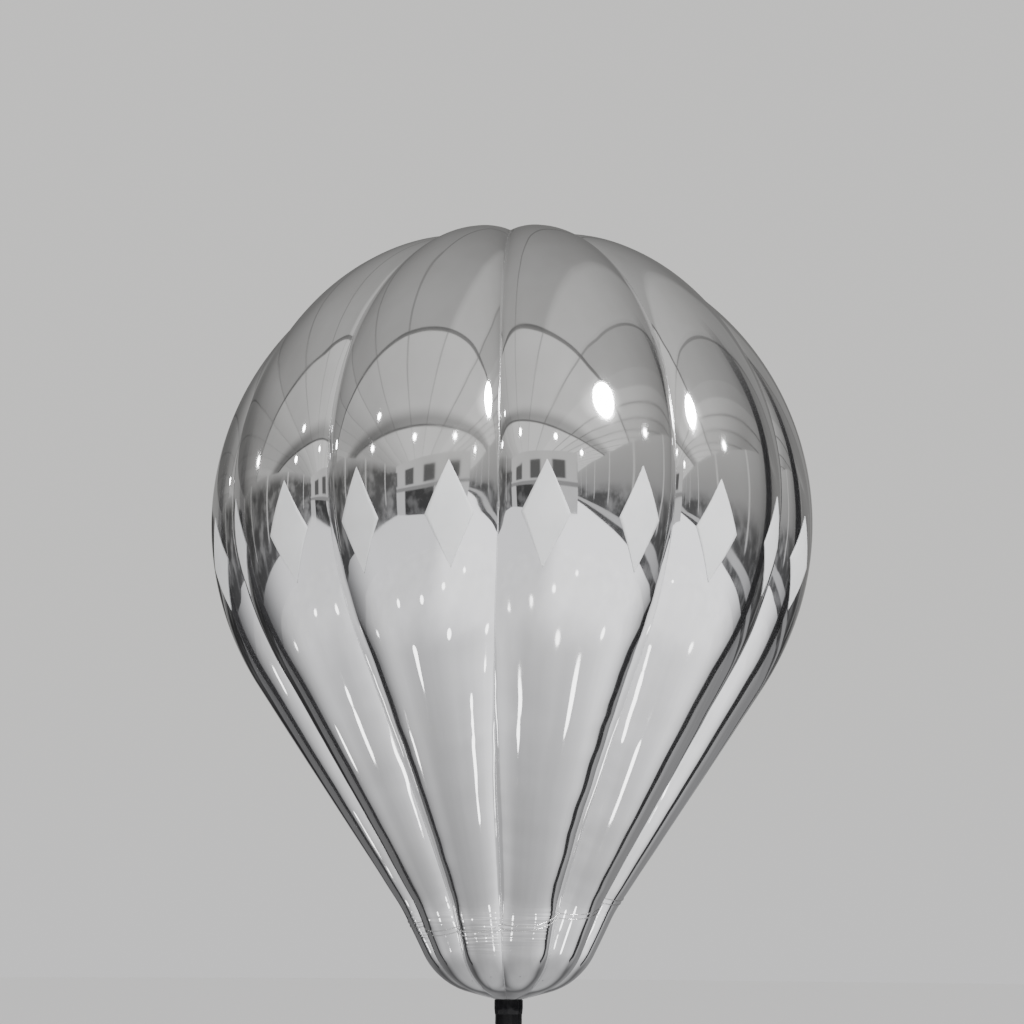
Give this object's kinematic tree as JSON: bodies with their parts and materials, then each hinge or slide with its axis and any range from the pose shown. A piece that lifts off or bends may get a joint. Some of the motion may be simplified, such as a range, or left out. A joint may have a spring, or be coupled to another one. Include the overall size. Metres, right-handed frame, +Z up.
{
  "type": "pole-mounted mirror advertising balloon",
  "caption": "Hot-air-balloon-shaped mirror-film inflatable with lobed gores and a bottom cup, turning on a telescopic pole in a round floor base.",
  "frame": {"origin": "on the floor, at the centre of the base plate's underside, on the pole's axis", "axes": "+Z up along the pole, -Y towards the viewer of the pictured side, +X to that viewer's right"},
  "size_m": [1.1912, 1.188, 2.91],
  "materials": {
    "mirror_film": "mirror-bright metallised film",
    "white_vinyl": "matt white adhesive film, cut in lozenges and stuck on the gores",
    "neck_disc": "moulded",
    "black_gloss": "gloss powder coat",
    "grey_powder": "fine-textured light grey powder coat",
    "black_nylon": "moulded satin",
    "zinc": "zinc plated"
  },
  "bodies": {
    "stand": {"base_plate": "grey_powder", "base_socket": "grey_powder", "outer_tube": "black_gloss", "clamp_ring": "black_nylon", "clamp_screw": "zinc", "clamp_knob": "black_nylon"},
    "pole": {"pole_tube": "black_gloss", "pole_spigot": "black_nylon", "pole_collar": "black_gloss", "pole_glide": "black_nylon"},
    "balloon": {"gore_01": "mirror_film", "gore_02": "mirror_film", "gore_03": "mirror_film", "gore_04": "mirror_film", "gore_05": "mirror_film", "gore_06": "mirror_film", "gore_07": "mirror_film", "gore_08": "mirror_film", "gore_09": "mirror_film", "gore_10": "mirror_film", "gore_11": "mirror_film", "cup_01": "mirror_film", "cup_02": "mirror_film", "cup_03": "mirror_film", "cup_04": "mirror_film", "cup_05": "mirror_film", "cup_06": "mirror_film", "cup_07": "mirror_film", "cup_08": "mirror_film", "cup_09": "mirror_film", "cup_10": "mirror_film", "cup_11": "mirror_film", "crown_patch": "mirror_film", "neck_disc": "neck_disc", "valve_stem": "black_nylon", "valve_cap": "black_nylon"}
  },
  "joints": [
    {"name": "pole_slide", "type": "slide", "parent": "stand", "child": "pole", "axis": [0, 0, 1], "range_m": [0, 0.4]},
    {"name": "balloon_turn", "type": "hinge", "parent": "pole", "child": "balloon", "pos_m": [0, 0, 1.385], "axis": [0, 0, 1], "continuous": true}
  ]
}
